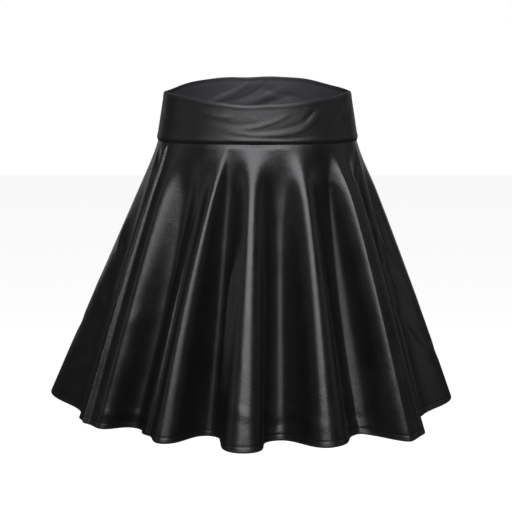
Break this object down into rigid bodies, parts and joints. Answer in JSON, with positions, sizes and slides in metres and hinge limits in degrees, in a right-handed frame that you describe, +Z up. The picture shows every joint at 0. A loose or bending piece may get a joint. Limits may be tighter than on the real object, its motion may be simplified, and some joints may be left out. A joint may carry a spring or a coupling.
{
  "type": "leather mini skirt",
  "caption": "Flared mini skirt in smooth black faux leather with a wide fitted waistband, hollow and filled out as worn.",
  "frame": {"origin": "middle of the waist, on the wearer's axis at half the height of the waistband's sides", "axes": "+Z up, the front faces -Y, +X towards the wearer's left hip"},
  "size_m": [0.4991, 0.4533, 0.393],
  "materials": {
    "band_leather": "smooth semi-gloss faux leather with soft drag creases",
    "skirt_leather": "smooth semi-gloss faux leather"
  },
  "bodies": {
    "root": {"waistband_front": "band_leather", "waistband_back": "band_leather", "skirt_front": "skirt_leather", "skirt_back": "skirt_leather"}
  },
  "joints": []
}
